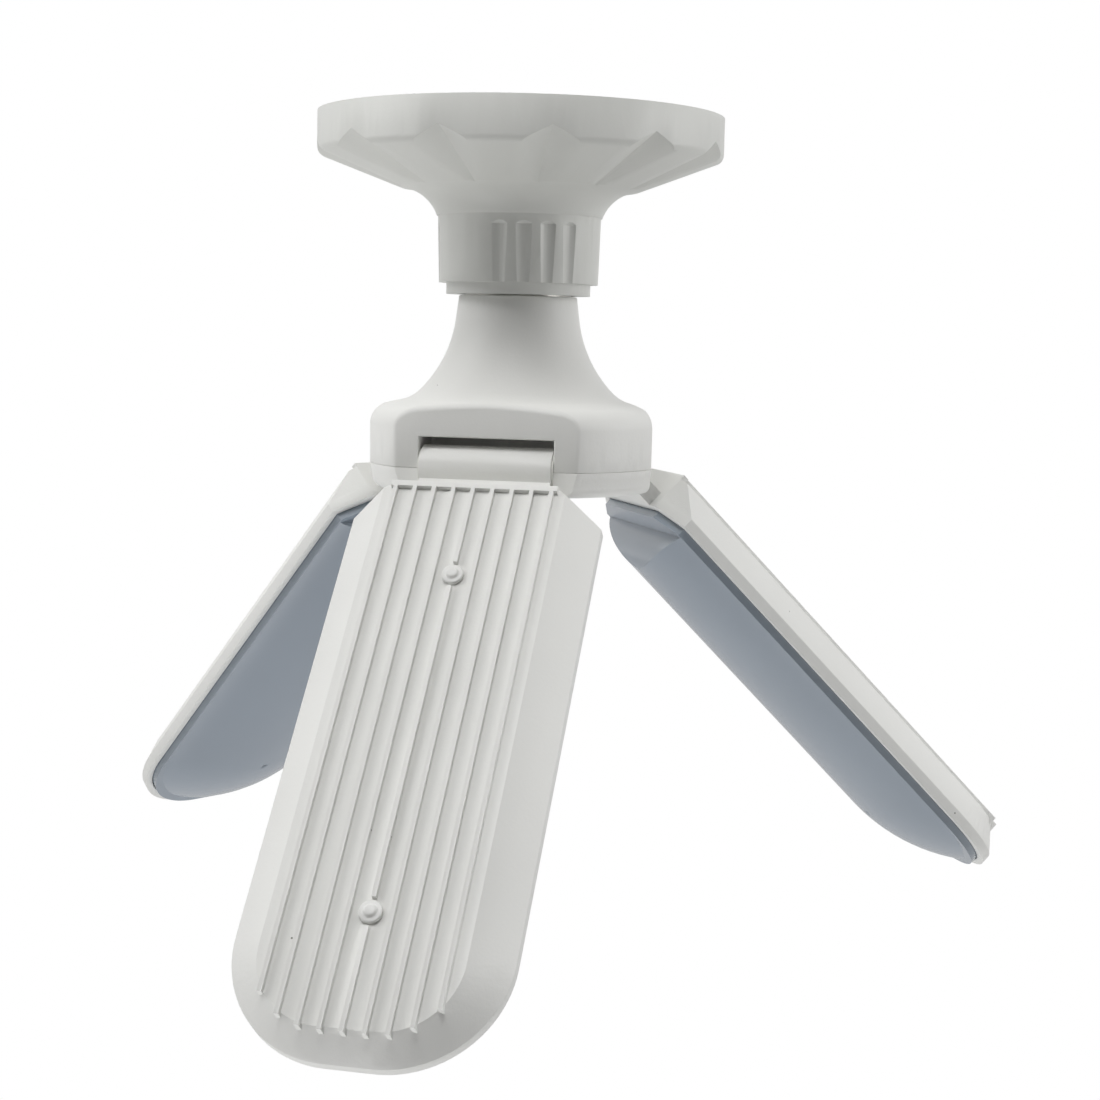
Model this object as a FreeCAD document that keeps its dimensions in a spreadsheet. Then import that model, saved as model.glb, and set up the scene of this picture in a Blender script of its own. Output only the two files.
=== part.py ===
import FreeCAD, Part
import math
import os
import Sketcher

# Ceiling light: a screw lampholder on a round ceiling cover, with a folding
# three-leaf lamp screwed into it. The origin is the middle of the face that lies
# on the ceiling, +Z is up into the ceiling and the light hangs down along -Z.

doc = FreeCAD.newDocument("CeilingLight")
sheet = doc.addObject("Spreadsheet::Sheet", "Sizes")


class Size:
    """One dimension: its present value, and the expression that ties it to the sheet."""

    def __init__(self, value, text):
        self.value = float(value)
        self.text = text

    def __add__(self, other):
        other = term(other)
        return Size(self.value + other.value, "(%s + %s)" % (self.text, other.text))

    __radd__ = __add__

    def __sub__(self, other):
        other = term(other)
        return Size(self.value - other.value, "(%s - %s)" % (self.text, other.text))

    def __rsub__(self, other):
        return term(other) - self

    def __mul__(self, other):
        other = term(other)
        return Size(self.value * other.value, "(%s * %s)" % (self.text, other.text))

    __rmul__ = __mul__

    def __truediv__(self, other):
        other = term(other)
        return Size(self.value / other.value, "(%s / %s)" % (self.text, other.text))

    def __neg__(self):
        return Size(-self.value, "(0 - %s)" % self.text)


def term(value):
    """A plain number as a Size, so that it can stand in a sum."""
    return value if isinstance(value, Size) else Size(value, "%r" % value)


def root(value):
    """Square root of a Size."""
    return Size(math.sqrt(value.value), "sqrt(%s)" % value.text)


# Driving dimensions in millimetres. Depths are measured down from the ceiling face.
SIZES = {
    # round cover on the ceiling
    "rim_radius": 50.0,
    "rim_depth": 9.72,
    "rim_round": 2.0,
    "rim_wall": 2.8,
    "cone_inset": 1.4,
    "cone_start_drop": 0.9,
    "cone_end_radius": 29.8,
    "cone_end_depth": 17.67,
    "collar_fillet": 10.4,
    "collar_lip": 0.3,
    "collar_radius": 20.19,
    "collar_top_depth": 24.52,
    "collar_end_radius": 19.75,
    "collar_end_depth": 40.84,
    "inside_cone_depth": 4.6,
    "inside_neck_radius": 22.0,
    "inside_neck_depth": 16.5,
    "flute_radius": 3.2,
    "flute_depth": 0.85,
    "flute_top_gap": 1.6,
    "scoop_half_width": 7.5,
    "scoop_rise": 3.1,
    "scoop_inner_radius": 24.0,
    "scoop_inner_depth": 20.1,
    # base plate and lampholder core
    "base_clearance": 0.2,
    "base_thickness": 3.0,
    "screw_spacing": 64.0,
    "screw_hole_radius": 2.25,
    "screw_head_radius": 4.2,
    "screw_head_depth": 1.5,
    "cable_hole_radius": 6.0,
    "cable_hole_offset": 26.0,
    "sleeve_radius": 17.9,
    "sleeve_wall": 3.3,
    "sleeve_end_depth": 43.65,
    "sleeve_lip_radius": 13.9,
    "sleeve_lip_height": 2.0,
    "sleeve_floor_depth": 13.2,
    "sleeve_floor": 3.0,
    "core_clearance": 0.15,
    "wire_notch_width": 8.0,
    "wire_notch_height": 7.0,
    "shell_sheet": 0.5,
    "shell_clearance": 0.05,
    "shell_top_depth": 22.0,
    "strip_thickness": 0.6,
    "strip_width": 7.0,
    "strip_reach": 9.0,
    "strip_gap": 0.25,
    "terminal_length": 11.0,
    "terminal_width": 6.5,
    "terminal_height": 7.0,
    "terminal_offset": 10.5,
    "terminal_hole_radius": 1.7,
    "terminal_screw_radius": 1.4,
    "terminal_screw_head_radius": 2.4,
    "terminal_screw_head": 1.6,
    "core_screw_radius": 1.5,
    "core_screw_head_radius": 2.7,
    "core_screw_head": 1.6,
    "core_screw_offset": 11.0,
    # screw cap of the lamp
    "cap_radius": 13.1,
    "cap_sheet": 0.4,
    "cap_height": 20.0,
    "cap_roll": 1.2,
    "insulator_height": 3.2,
    "insulator_top_radius": 5.6,
    "contact_radius": 4.7,
    "contact_height": 1.6,
    "contact_dome": 0.5,
    # neck and hub of the lamp
    "neck_gap": 0.3,
    "neck_radius": 14.65,
    "spigot_height": 6.0,
    "spigot_wall": 2.0,
    "flare_start_radius": 15.4,
    "flare_start_depth": 49.8,
    "flare_bend": 30.8,
    "flare_low_radius": 24.0,
    "flare_low_depth": 67.4,
    "flare_low_bend": 10.0,
    "flare_end_radius": 27.6,
    "flare_end_depth": 69.75,
    "shoulder_radius": 32.2,
    "shoulder_depth": 70.8,
    "hub_radius": 36.35,
    "hub_top_depth": 75.6,
    "shoulder_bend": 5.35,
    "seam_depth": 85.57,
    "hub_depth": 91.6,
    "hub_seam_radius": 36.25,
    "hub_end_radius": 35.6,
    "hub_end_round": 2.5,
    "neck_bore": 11.0,
    "flare_bore": 13.6,
    "flare_bore_depth": 61.8,
    "hub_bore": 16.2,
    "hub_bore_depth": 70.8,
    "facet_distance": 28.4,
    "facet_round": 1.8,
    "window_half_width": 16.66,
    "window_top_depth": 78.03,
    "window_back": 17.9,
    "cover_floor": 2.5,
    "board_rest_radius": 12.0,
    "board_rest_wall": 1.6,
    "hub_screw_offset": 28.2,
    "hub_screw_radius": 1.5,
    "hub_screw_head_radius": 2.8,
    "hub_screw_head": 2.0,
    "hub_screw_bite": 8.0,
    "hub_screw_slot": 1.2,
    "screw_fit": 0.05,
    "driver_thickness": 1.6,
    "driver_edge_gap": 0.3,
    "capacitor_radius": 5.0,
    "capacitor_height": 14.0,
    "capacitor_offset": 6.5,
    "coil_radius": 4.0,
    "coil_height": 8.0,
    "chip_length": 6.0,
    "chip_width": 4.0,
    "chip_height": 1.6,
    # hinges of the leaves
    "hinge_offset": 24.1,
    "barrel_radius": 5.5,
    "barrel_half_length": 16.19,
    "barrel_bore": 2.6,
    "journal_fit": 0.05,
    "journal_length": 4.6,
    "bush_radius": 3.1,
    "bush_seat": 3.4,
    "bush_hole": 1.4,
    "washer_radius": 4.8,
    "washer_gap": 0.04,
    "strap_top": 2.2,
    "strap_bottom": 2.05,
    # leaf housing, measured along the leaf from the hinge axis
    "leaf_start": 10.83,
    "leaf_lip": 1.5,
    "leaf_end": 150.1,
    "leaf_half_width": 30.14,
    "leaf_lip_half_width": 20.07,
    "leaf_corner_start": 16.8,
    "leaf_corner_radius": 25.0,
    "plateau_end": 145.1,
    "plateau_half_width": 21.9,
    "plateau_corner_radius": 16.0,
    "plateau_height": 7.49,
    "rib_top": 8.74,
    "rib_pitch": 4.694,
    "rib_width": 1.0,
    "rib_overhang": 1.0,
    "rib_root": 1.9,
    "side_rise": 0.57,
    "side_bottom": 2.05,
    "leaf_wall": 1.9,
    "leaf_roof": 2.0,
    "inner_half_width": 20.6,
    "inner_end": 143.2,
    "inner_corner_radius": 14.0,
    "rivet_first": 36.57,
    "rivet_second": 120.24,
    "rivet_clear": 3.2,
    "rivet_radius": 2.5,
    "rivet_head": 1.1,
    "rivet_dome_radius": 1.5,
    "rivet_dome": 0.7,
    "rivet_shank": 1.2,
    "rivet_fit": 0.05,
    # light board and diffuser of a leaf
    "led_board_thickness": 1.2,
    "led_board_gap": 0.3,
    "led_length": 3.5,
    "led_width": 2.8,
    "led_height": 0.7,
    "led_start": 21.5,
    "led_pitch": 9.6,
    "led_row_pitch": 13.0,
    "diffuser_gap": 0.25,
    "diffuser_wall": 1.4,
    "diffuser_edge_depth": 4.0,
    "diffuser_crown_depth": 12.5,
    "diffuser_ledge": 0.4,
    "diffuser_nose": 9.0,
    "diffuser_nose_over": 0.3,
    "diffuser_inner_start": 5.0,
    "overrun": 2.0,
}

COUNTS = {"leaves": 3, "flute_groups": 3, "flutes": 4, "scoops": 12, "ribs": 9, "leds_along": 12, "leds_across": 3}

# Directions in degrees, turned from +X towards +Y.
LEAF_AZIMUTHS = (-90.0, 30.0, 150.0)
LEAF_TILTS = (41.67, 44.9, 44.89)
FLUTE_AZIMUTH = -64.0
FLUTE_STEP = 17.0
SCOOP_AZIMUTH = -67.5
HUB_SCREW_AZIMUTH = -30.0


class Values:
    """The sheet's named sizes, read as attributes."""


s = Values()
for row, (name, value) in enumerate(SIZES.items(), start=1):
    sheet.set("A%d" % row, name)
    sheet.set("B%d" % row, "%r" % value)
    sheet.setAlias("B%d" % row, name)
    setattr(s, name, Size(value, "Sizes.%s" % name))
doc.recompute()

nodes = {}


def keep(item, label):
    """Name a finished sub-part; its label is also its file's name."""
    item.Label = label
    nodes[label] = item
    return item


def plane(body, role):
    """One of a body's own origin planes or axes."""
    for feature in body.Origin.OriginFeatures:
        if feature.Role == role:
            return feature
    raise ValueError(role)


def place_point(sketch, rules, texts, edge, end, x, y):
    """Hold one sketch point at (x, y) from the sketch's own axes."""
    for kind, axis, value in (("DistanceX", -2, x), ("DistanceY", -1, y)):
        value = term(value)
        if abs(value.value) < 1e-9:
            rules.append(Sketcher.Constraint("PointOnObject", edge, end, axis))
            texts.append(None)
        elif value.value > 0:
            rules.append(Sketcher.Constraint(kind, -1, 1, edge, end, value.value))
            texts.append(value.text)
        else:
            rules.append(Sketcher.Constraint(kind, edge, end, -1, 1, -value.value))
            texts.append("0 - %s" % value.text)


def arc_between(start, end, radius):
    """Arc under a half turn from start to end; a positive radius turns left."""
    dx = end[0] - start[0]
    dy = end[1] - start[1]
    chord = math.hypot(dx, dy)
    reach = math.sqrt(max(radius * radius - chord * chord / 4, 0))
    side = 1 if radius > 0 else -1
    centre_x = (start[0] + end[0]) / 2 - side * reach * dy / chord
    centre_y = (start[1] + end[1]) / 2 + side * reach * dx / chord
    first = math.atan2(start[1] - centre_y, start[0] - centre_x)
    last = math.atan2(end[1] - centre_y, end[0] - centre_x)
    if side < 0:
        first, last = last, first
    circle = Part.Circle(FreeCAD.Vector(centre_x, centre_y, 0), FreeCAD.Vector(0, 0, 1), abs(radius))
    return Part.ArcOfCircle(circle, first, last)


def outline(sketch, corners):
    """Closed outline through corners (x, y) or (x, y, radius of the arc that leaves it)."""
    count = len(corners)
    base = sketch.GeometryCount
    spots = [(term(corner[0]).value, term(corner[1]).value) for corner in corners]
    ends = []
    for index, corner in enumerate(corners):
        start = spots[index]
        end = spots[(index + 1) % count]
        if len(corner) > 2:
            bend = corner[2].value
            sketch.addGeometry(arc_between(start, end, bend), False)
            ends.append((1, 2) if bend > 0 else (2, 1))
        else:
            first = FreeCAD.Vector(start[0], start[1], 0)
            last = FreeCAD.Vector(end[0], end[1], 0)
            sketch.addGeometry(Part.LineSegment(first, last), False)
            ends.append((1, 2))
    rules = []
    texts = []
    for index, corner in enumerate(corners):
        after = (index + 1) % count
        joint = (base + index, ends[index][1], base + after, ends[after][0])
        rules.append(Sketcher.Constraint("Coincident", *joint))
        texts.append(None)
        place_point(sketch, rules, texts, base + index, ends[index][0], corner[0], corner[1])
        if len(corner) > 2:
            bend = corner[2] if corner[2].value > 0 else -corner[2]
            rules.append(Sketcher.Constraint("Radius", base + index, bend.value))
            texts.append(bend.text)
    bind_rules(sketch, rules, texts)


def ring(sketch, x, y, radius):
    """Circle of a named radius round a named point."""
    index = sketch.GeometryCount
    centre = FreeCAD.Vector(term(x).value, term(y).value, 0)
    sketch.addGeometry(Part.Circle(centre, FreeCAD.Vector(0, 0, 1), radius.value), False)
    rules = [Sketcher.Constraint("Radius", index, radius.value)]
    texts = [radius.text]
    if abs(term(x).value) + abs(term(y).value) < 1e-9:
        rules.append(Sketcher.Constraint("Coincident", index, 3, -1, 1))
        texts.append(None)
    else:
        place_point(sketch, rules, texts, index, 3, x, y)
    bind_rules(sketch, rules, texts)


def bind_rules(sketch, rules, texts):
    """Add constraints and tie each one that has a size to the sheet."""
    first = sketch.ConstraintCount
    sketch.addConstraint(rules)
    for offset, text in enumerate(texts):
        if text is not None:
            sketch.setExpression("Constraints[%d]" % (first + offset), text)


def new_body(name):
    return doc.addObject("PartDesign::Body", name)


def new_sketch(body, name, role, lift=None):
    """Sketch on one of the body's planes, moved along the plane's normal by lift."""
    sketch = body.newObject("Sketcher::SketchObject", name)
    sketch.AttachmentSupport = (plane(body, role), [""])
    sketch.MapMode = "FlatFace"
    if lift is not None:
        sketch.AttachmentOffset = FreeCAD.Placement(FreeCAD.Vector(0, 0, lift.value), FreeCAD.Rotation())
        sketch.setExpression("AttachmentOffset.Base.z", lift.text)
    return sketch


def revolve(body, name, corners):
    """Turn an outline (radius, height) once round the body's Z axis."""
    sketch = new_sketch(body, name + "_outline", "XZ_Plane")
    outline(sketch, corners)
    turn = body.newObject("PartDesign::Revolution", name)
    turn.Profile = sketch
    turn.ReferenceAxis = (sketch, ["V_Axis"])
    turn.Angle = 360
    return turn


def pad(body, name, sketch, length, down=False):
    """Thicken a sketch upwards, or downwards, by a named length."""
    feature = body.newObject("PartDesign::Pad", name)
    feature.Profile = sketch
    feature.Length = length.value
    feature.setExpression("Length", length.text)
    feature.Reversed = down
    return feature


def pocket(body, name, sketch, length, upward=False):
    """Cut a sketch downwards, or upwards, by a named length."""
    feature = body.newObject("PartDesign::Pocket", name)
    feature.Profile = sketch
    feature.Length = length.value
    feature.setExpression("Length", length.text)
    feature.Reversed = upward
    return feature


def around(body, name, feature, count):
    """Repeat a feature round the body's Z axis."""
    pattern = body.newObject("PartDesign::PolarPattern", name)
    pattern.Originals = [feature]
    pattern.Axis = (plane(body, "Z_Axis"), [""])
    pattern.Angle = 360
    pattern.Occurrences = count
    body.Tip = pattern
    return pattern


def round_edges(body, name, base, radius, wanted):
    """Round the edges that a test picks out, by a named radius."""
    doc.recompute()
    picked = []
    for index, edge in enumerate(base.Shape.Edges, start=1):
        if wanted(edge):
            picked.append("Edge%d" % index)
    feature = body.newObject("PartDesign::Fillet", name)
    feature.Base = (base, picked)
    feature.Radius = radius.value
    feature.setExpression("Radius", radius.text)
    body.Tip = feature
    return feature


def cylinder(name, radius, height, x=0, y=0, z=0):
    """Upright cylinder standing on (x, y, z), all tied to the sheet."""
    item = doc.addObject("Part::Cylinder", name)
    tie(item, {"Radius": radius, "Height": height})
    return stand(item, x, y, z)


def block(name, length, width, height, x=0, y=0, z=0):
    """Box with its low corner at (x, y, z), all tied to the sheet."""
    item = doc.addObject("Part::Box", name)
    tie(item, {"Length": length, "Width": width, "Height": height})
    return stand(item, x, y, z)


def tie(item, values):
    for prop, value in values.items():
        value = term(value)
        setattr(item, prop, value.value)
        item.setExpression(prop, value.text)


def stand(item, x, y, z):
    x, y, z = term(x), term(y), term(z)
    item.Placement.Base = FreeCAD.Vector(x.value, y.value, z.value)
    for axis, value in (("x", x), ("y", y), ("z", z)):
        item.setExpression("Placement.Base." + axis, value.text)
    return item


def fuse(name, items):
    item = doc.addObject("Part::MultiFuse", name)
    item.Shapes = items
    return item


def cut(name, base, tool):
    item = doc.addObject("Part::Cut", name)
    item.Base = base
    item.Tool = tool
    return item


def group(name, items):
    item = doc.addObject("Part::Compound", name)
    item.Links = items
    return item


# Ceiling base: a moulded insulating disc that the screws hold to the ceiling. It has
# two screw holes in line with the middle and one cable hole behind the cover.
def make_ceiling_base():
    body = new_body("ceiling_base_body")
    disc = new_sketch(body, "base_outline", "XY_Plane")
    ring(disc, 0, 0, s.rim_radius - s.rim_wall - s.base_clearance)
    for side in (1, -1):
        ring(disc, side * s.screw_spacing / 2, 0, s.screw_hole_radius)
        ring(disc, side * s.core_screw_offset, 0, s.core_screw_radius + s.screw_fit)
    ring(disc, 0, s.cable_hole_offset, s.cable_hole_radius)
    pad(body, "base_disc", disc, s.base_thickness, down=True)
    heads = new_sketch(body, "head_recess_outline", "XY_Plane", -s.base_thickness)
    for side in (1, -1):
        ring(heads, side * s.screw_spacing / 2, 0, s.screw_head_radius)
    body.Tip = pocket(body, "head_recesses", heads, s.screw_head_depth, upward=True)
    keep(body, "ceiling_base")


# Holder cover: one thin white moulding with a round rim, a hollow cone with gabled
# scoops cut up into the rim, and a fluted collar to grip when it is turned.
def make_holder_cover():
    body = new_body("holder_cover_body")
    cone_radius = s.rim_radius - s.cone_inset
    cone_depth = s.rim_depth + s.cone_start_drop
    collar_bore = s.sleeve_radius + s.core_clearance
    revolve(body, "cover_turned", [
        (s.rim_radius - s.rim_wall, 0),
        (s.rim_radius - s.rim_wall, -s.inside_cone_depth),
        (s.inside_neck_radius, -s.inside_neck_depth),
        (collar_bore, -(s.inside_neck_depth + s.inside_neck_radius - collar_bore)),
        (collar_bore, -s.collar_end_depth),
        (s.collar_end_radius, -s.collar_end_depth),
        (s.collar_radius, -s.collar_top_depth),
        (s.collar_radius + s.collar_lip, -s.collar_top_depth, -s.collar_fillet),
        (s.cone_end_radius, -s.cone_end_depth),
        (cone_radius, -cone_depth, s.rim_round),
        (s.rim_radius, -(cone_depth - s.rim_round)),
        (s.rim_radius, 0),
    ])
    tools = flute_tools() + scoop_tools()
    keep(cut("holder_cover_cut", body, fuse("cover_tools", tools)), "holder_cover")


def flute_tools():
    """Round-topped grooves in three groups round the collar."""
    tools = []
    offset = s.collar_radius - s.flute_depth + s.flute_radius
    top = -(s.collar_top_depth + s.flute_top_gap)
    bottom = -(s.collar_end_depth + s.overrun)
    for turn in range(COUNTS["flute_groups"]):
        for step in range(COUNTS["flutes"]):
            middle = (COUNTS["flutes"] - 1) / 2
            azimuth = FLUTE_AZIMUTH + 360 * turn / COUNTS["flute_groups"] + FLUTE_STEP * (step - middle)
            x = offset * math.cos(math.radians(azimuth))
            y = offset * math.sin(math.radians(azimuth))
            name = "flute_%d_%d" % (turn, step)
            groove = cylinder(name, s.flute_radius, top - s.flute_depth - bottom, x, y, bottom)
            end = doc.addObject("Part::Cone", name + "_top")
            tie(end, {"Radius1": s.flute_radius, "Radius2": s.flute_radius - s.flute_depth, "Height": s.flute_depth})
            stand(end, x, y, top - s.flute_depth)
            tools += [groove, end]
    return tools


def scoop_tools():
    """Gable-shaped wedges whose ridges climb from the collar out through the rim."""
    tools = []
    far = s.rim_radius + s.overrun
    ridge_depth = s.rim_depth - s.scoop_rise
    run = s.rim_radius - s.scoop_inner_radius
    climb = s.scoop_inner_depth - ridge_depth
    slope = root(run * run + climb * climb)
    length = slope * (far - s.scoop_inner_radius) / run
    pitch = math.degrees(math.atan2(climb.value, run.value))
    half = s.scoop_half_width * (s.scoop_rise + s.overrun) / s.scoop_rise
    for step in range(COUNTS["scoops"]):
        azimuth = SCOOP_AZIMUTH + 360 * step / COUNTS["scoops"]
        wedge = doc.addObject("Part::Wedge", "scoop_%d" % step)
        tie(wedge, {
            "Xmin": -half, "Xmax": half, "X2min": 0, "X2max": 0,
            "Ymin": -(s.scoop_rise + s.overrun), "Ymax": 0,
            "Zmin": 0, "Zmax": length, "Z2min": 0, "Z2max": length,
        })
        x = s.scoop_inner_radius * math.cos(math.radians(azimuth))
        y = s.scoop_inner_radius * math.sin(math.radians(azimuth))
        stand(wedge, x, y, -s.scoop_inner_depth)
        outward = FreeCAD.Rotation(FreeCAD.Vector(0, 0, 1), azimuth)
        incline = FreeCAD.Rotation(FreeCAD.Vector(0, 1, 0), -pitch)
        upright = FreeCAD.Rotation(FreeCAD.Vector(0, 1, 0), FreeCAD.Vector(0, 0, 1), FreeCAD.Vector(1, 0, 0), "XYZ")
        wedge.Placement.Rotation = outward * incline * upright
        tools.append(wedge)
    return tools


# Socket sleeve: the insulating core that carries the metal parts. Its lower end is the
# narrow ring seen below the fluted collar, and its floor is screwed to the base. A
# notch in its wall lets the cable's wires in to the terminals.
def make_socket_sleeve():
    body = new_body("socket_sleeve_body")
    bore = s.sleeve_radius - s.sleeve_wall
    revolve(body, "sleeve_turned", [
        (0, -s.sleeve_floor_depth),
        (bore, -s.sleeve_floor_depth),
        (bore, -s.base_thickness),
        (s.sleeve_radius, -s.base_thickness),
        (s.sleeve_radius, -s.sleeve_end_depth),
        (s.sleeve_lip_radius, -s.sleeve_end_depth),
        (s.sleeve_lip_radius, -(s.sleeve_end_depth - s.sleeve_lip_height)),
        (bore, -(s.sleeve_end_depth - s.sleeve_lip_height)),
        (bore, -(s.sleeve_floor_depth + s.sleeve_floor)),
        (0, -(s.sleeve_floor_depth + s.sleeve_floor)),
    ])
    notch = block("wire_notch", s.wire_notch_width, s.sleeve_radius + s.overrun, s.wire_notch_height + s.overrun,
                  -s.wire_notch_width / 2, 0, -(s.base_thickness + s.wire_notch_height))
    keep(cut("socket_sleeve_cut", body, notch), "socket_sleeve")


# Core posts: two screws from the base into turned posts on the sleeve's floor.
def make_core_posts():
    posts = []
    for side in (1, -1):
        x = side * s.core_screw_offset
        bottom = -s.sleeve_floor_depth
        shank = cylinder("post_shank_%d" % (side + 1), s.core_screw_radius, -bottom - s.core_screw_head, x, 0, bottom)
        head_top = -s.base_thickness
        head = cylinder("post_nut_%d" % (side + 1), s.core_screw_head_radius, head_top - bottom, x, 0, bottom)
        posts.append(fuse("post_%d" % (side + 1), [shank, head]))
    keep(group("core_posts_group", posts), "core_posts")


# Threaded shell: rolled sheet metal that takes the lamp's screw cap.
def make_thread_shell():
    body = new_body("thread_shell_body")
    outer = s.sleeve_radius - s.sleeve_wall - s.shell_clearance
    revolve(body, "shell_turned", [
        (outer - s.shell_sheet, -s.shell_top_depth),
        (outer, -s.shell_top_depth),
        (outer, -(s.sleeve_end_depth - s.sleeve_lip_height)),
        (outer - s.shell_sheet, -(s.sleeve_end_depth - s.sleeve_lip_height)),
    ])
    keep(body, "thread_shell")


def contact_tip_depth():
    """Depth of the lamp's centre contact when the lamp is screwed home."""
    lamp_top = s.sleeve_end_depth + s.neck_gap - s.cap_height
    return lamp_top - s.insulator_height - s.contact_height


# Centre contact: a bent strip riveted under the sleeve's floor, with a sprung tongue.
def make_centre_contact():
    body = new_body("centre_contact_body")
    sketch = new_sketch(body, "strip_outline", "XZ_Plane")
    ceiling = -(s.sleeve_floor_depth + s.sleeve_floor)
    low = -(contact_tip_depth() - s.strip_gap)
    half = s.strip_reach / 2
    bend = half - s.strip_thickness
    outline(sketch, [
        (-half, ceiling),
        (-half, low),
        (half, low),
        (half, low + s.strip_thickness),
        (-bend, low + s.strip_thickness),
        (-bend, ceiling - s.strip_thickness),
        (half, ceiling - s.strip_thickness),
        (half, ceiling),
    ])
    strip = pad(body, "strip_bent", sketch, s.strip_width)
    strip.Midplane = True
    keep(body, "centre_contact")


# Terminals: two brass blocks on the sleeve's floor, each with a wire hole and a screw.
def make_terminals():
    blocks = []
    screws = []
    for side in (1, -1):
        tag = "%d" % (side + 1)
        y_middle = side * s.terminal_offset - side * s.terminal_width / 2
        low = -s.sleeve_floor_depth
        solid = block("terminal_block_" + tag, s.terminal_length, s.terminal_width, s.terminal_height,
                      -s.terminal_length / 2, y_middle - s.terminal_width / 2, low)
        wire = cylinder("terminal_wire_" + tag, s.terminal_hole_radius, s.terminal_length / 2 + s.overrun,
                        -(s.terminal_length / 2 + s.overrun), y_middle, low + s.terminal_height / 2)
        wire.Placement.Rotation = FreeCAD.Rotation(FreeCAD.Vector(0, 1, 0), 90)
        seat = cylinder("terminal_seat_" + tag, s.terminal_screw_radius + s.screw_fit, s.terminal_height + s.overrun,
                        s.terminal_length / 4, y_middle, low + s.terminal_height / 4)
        blocks.append(cut("terminal_" + tag, solid, fuse("terminal_holes_" + tag, [wire, seat])))
        shank = cylinder("clamp_shank_" + tag, s.terminal_screw_radius, s.terminal_height * 3 / 4,
                         s.terminal_length / 4, y_middle, low + s.terminal_height / 4)
        head = cylinder("clamp_head_" + tag, s.terminal_screw_head_radius, s.terminal_screw_head,
                        s.terminal_length / 4, y_middle, low + s.terminal_height)
        screws.append(fuse("clamp_screw_" + tag, [shank, head]))
    keep(group("terminals_group", blocks), "terminals")
    keep(group("terminal_screws_group", screws), "terminal_screws")


# Lamp cap: a rolled screw shell, a glass-like insulator and a soldered centre contact.
def make_cap():
    bottom = s.sleeve_end_depth + s.neck_gap
    top = bottom - s.cap_height
    shell = new_body("cap_shell_body")
    revolve(shell, "cap_turned", [
        (s.cap_radius - s.cap_sheet, -bottom),
        (s.cap_radius, -bottom),
        (s.cap_radius, -(top + s.cap_roll)),
        (s.cap_radius - s.cap_roll, -top),
        (s.cap_radius - s.cap_roll - s.cap_sheet, -top),
        (s.cap_radius - s.cap_sheet, -(top + s.cap_roll)),
    ])
    keep(shell, "cap_shell")
    insulator = new_body("cap_insulator_body")
    foot = s.cap_radius - s.cap_roll - s.cap_sheet
    revolve(insulator, "insulator_turned", [
        (0, -top),
        (foot, -top),
        (s.insulator_top_radius, -(top - s.insulator_height)),
        (0, -(top - s.insulator_height)),
    ])
    keep(insulator, "cap_insulator")
    contact = new_body("cap_contact_body")
    seat = top - s.insulator_height
    revolve(contact, "contact_turned", [
        (0, -seat),
        (s.contact_radius, -seat),
        (s.contact_radius, -(seat - s.contact_height + s.contact_dome)),
        (s.contact_radius - s.contact_dome, -(seat - s.contact_height)),
        (0, -(seat - s.contact_height)),
    ])
    keep(contact, "cap_contact")


# Neck housing: the upper moulding of the lamp, a waisted neck that flares into a round
# hub with three flat facets. A hinge window opens through each facet.
def make_neck_housing():
    body = new_body("neck_housing_body")
    top = s.sleeve_end_depth + s.neck_gap
    spigot = s.cap_radius - s.cap_sheet - s.shell_clearance
    revolve(body, "neck_turned", [
        (spigot - s.spigot_wall, -(top - s.spigot_height)),
        (spigot, -(top - s.spigot_height)),
        (spigot, -top),
        (s.neck_radius, -top),
        (s.flare_start_radius, -s.flare_start_depth, s.flare_bend),
        (s.flare_low_radius, -s.flare_low_depth, s.flare_low_bend),
        (s.flare_end_radius, -s.flare_end_depth),
        (s.shoulder_radius, -s.shoulder_depth, -s.shoulder_bend),
        (s.hub_radius, -s.hub_top_depth),
        (s.hub_seam_radius, -s.seam_depth),
        (s.hub_bore, -s.seam_depth),
        (s.hub_bore, -s.hub_bore_depth),
        (s.flare_bore, -s.flare_bore_depth),
        (s.neck_bore, -s.flare_start_depth),
        (spigot - s.spigot_wall, -top),
    ])
    facet = new_sketch(body, "facet_outline", "XY_Plane", -s.seam_depth)
    facet_corners(facet)
    faced = pocket(body, "facet_cut", facet, s.seam_depth - s.flare_end_depth + s.overrun, upward=True)
    facets = around(body, "facet_cuts", faced, COUNTS["leaves"])
    round_edges(body, "facet_rounds", facets, s.facet_round, is_facet_top)
    window = new_sketch(body, "window_outline", "XY_Plane", -s.seam_depth)
    window_corners(window)
    opened = pocket(body, "window_cut", window, s.seam_depth - s.window_top_depth, upward=True)
    around(body, "window_cuts", opened, COUNTS["leaves"])
    tools = bush_seats("housing") + screw_holes("housing")
    keep(cut("neck_housing_cut", body, fuse("housing_tools", tools)), "neck_housing")


def is_facet_top(edge):
    """An edge where a flat facet meets the round shoulder above it."""
    first, last = edge.FirstParameter, edge.LastParameter
    spots = [edge.valueAt(first + (last - first) * part / 4) for part in range(5)]
    if spots[2].z < -s.hub_top_depth.value:
        return False
    for azimuth in LEAF_AZIMUTHS:
        cosine = math.cos(math.radians(azimuth))
        sine = math.sin(math.radians(azimuth))
        if all(abs(spot.x * cosine + spot.y * sine - s.facet_distance.value) < 1e-3 for spot in spots):
            return True
    return False


def facet_corners(sketch):
    """Everything outside one facet's plane, out past the hub."""
    far = s.hub_radius + s.overrun
    outline(sketch, [
        (-far, -far),
        (far, -far),
        (far, -s.facet_distance),
        (-far, -s.facet_distance),
    ])


def window_corners(sketch):
    """One hinge window, from its back wall out past the facet."""
    far = s.hub_radius + s.overrun
    outline(sketch, [
        (-s.window_half_width, -far),
        (s.window_half_width, -far),
        (s.window_half_width, -s.window_back),
        (-s.window_half_width, -s.window_back),
    ])


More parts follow.
